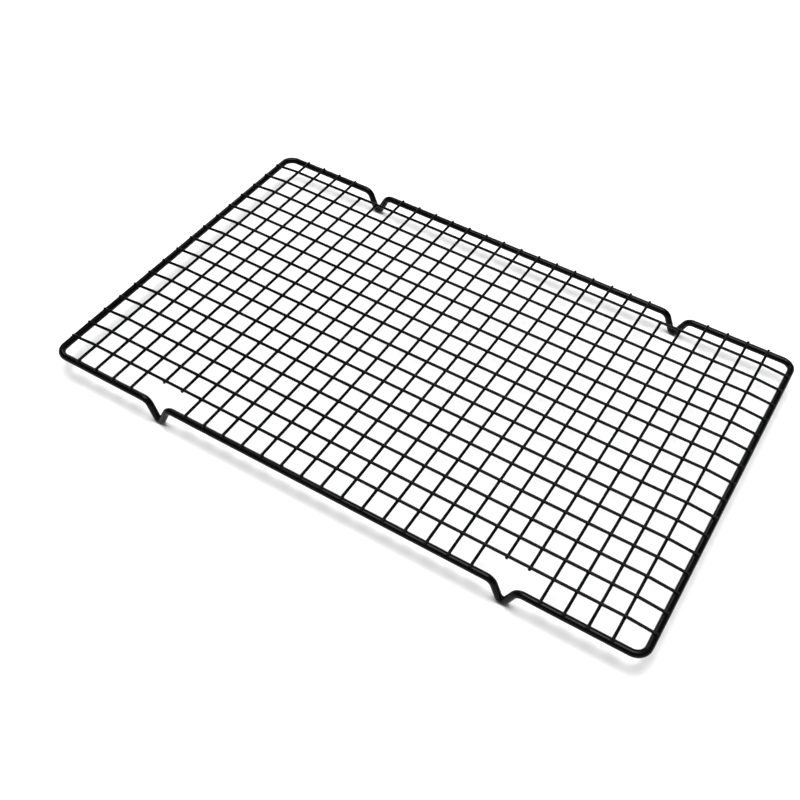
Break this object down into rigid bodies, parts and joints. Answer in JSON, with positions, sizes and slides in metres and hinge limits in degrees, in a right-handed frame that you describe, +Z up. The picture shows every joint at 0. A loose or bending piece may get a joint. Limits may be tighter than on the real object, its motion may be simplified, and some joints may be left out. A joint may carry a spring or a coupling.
{
  "type": "wire cooling rack",
  "caption": "Low rectangular wire cooling rack with a fine welded grid and V-shaped feet bent from its frame wire.",
  "frame": {"origin": "on the table, under the middle of the rack, in the plane that the four feet rest on", "axes": "+X along the length, +Y along the width towards the back, +Z up"},
  "size_m": [0.4, 0.256, 0.02],
  "materials": {
    "black_nonstick_coating": "satin black non-stick coating over steel wire"
  },
  "bodies": {
    "root": {"cross_wire_01": "black_nonstick_coating", "cross_wire_02": "black_nonstick_coating", "cross_wire_03": "black_nonstick_coating", "cross_wire_04": "black_nonstick_coating", "cross_wire_05": "black_nonstick_coating", "cross_wire_06": "black_nonstick_coating", "cross_wire_07": "black_nonstick_coating", "cross_wire_08": "black_nonstick_coating", "cross_wire_09": "black_nonstick_coating", "cross_wire_10": "black_nonstick_coating", "cross_wire_11": "black_nonstick_coating", "cross_wire_12": "black_nonstick_coating", "cross_wire_13": "black_nonstick_coating", "cross_wire_14": "black_nonstick_coating", "cross_wire_15": "black_nonstick_coating", "cross_wire_16": "black_nonstick_coating", "cross_wire_17": "black_nonstick_coating", "cross_wire_18": "black_nonstick_coating", "cross_wire_19": "black_nonstick_coating", "cross_wire_20": "black_nonstick_coating", "cross_wire_21": "black_nonstick_coating", "cross_wire_22": "black_nonstick_coating", "cross_wire_23": "black_nonstick_coating", "frame": "black_nonstick_coating", "long_wire_01": "black_nonstick_coating", "long_wire_02": "black_nonstick_coating", "long_wire_03": "black_nonstick_coating", "long_wire_04": "black_nonstick_coating", "long_wire_05": "black_nonstick_coating", "long_wire_06": "black_nonstick_coating", "long_wire_07": "black_nonstick_coating", "long_wire_08": "black_nonstick_coating", "long_wire_09": "black_nonstick_coating", "long_wire_10": "black_nonstick_coating", "long_wire_11": "black_nonstick_coating", "long_wire_12": "black_nonstick_coating", "long_wire_13": "black_nonstick_coating", "long_wire_14": "black_nonstick_coating", "long_wire_15": "black_nonstick_coating", "long_wire_16": "black_nonstick_coating", "short_cross_wire_1": "black_nonstick_coating", "short_cross_wire_2": "black_nonstick_coating", "short_cross_wire_3": "black_nonstick_coating", "short_cross_wire_4": "black_nonstick_coating"}
  },
  "joints": []
}
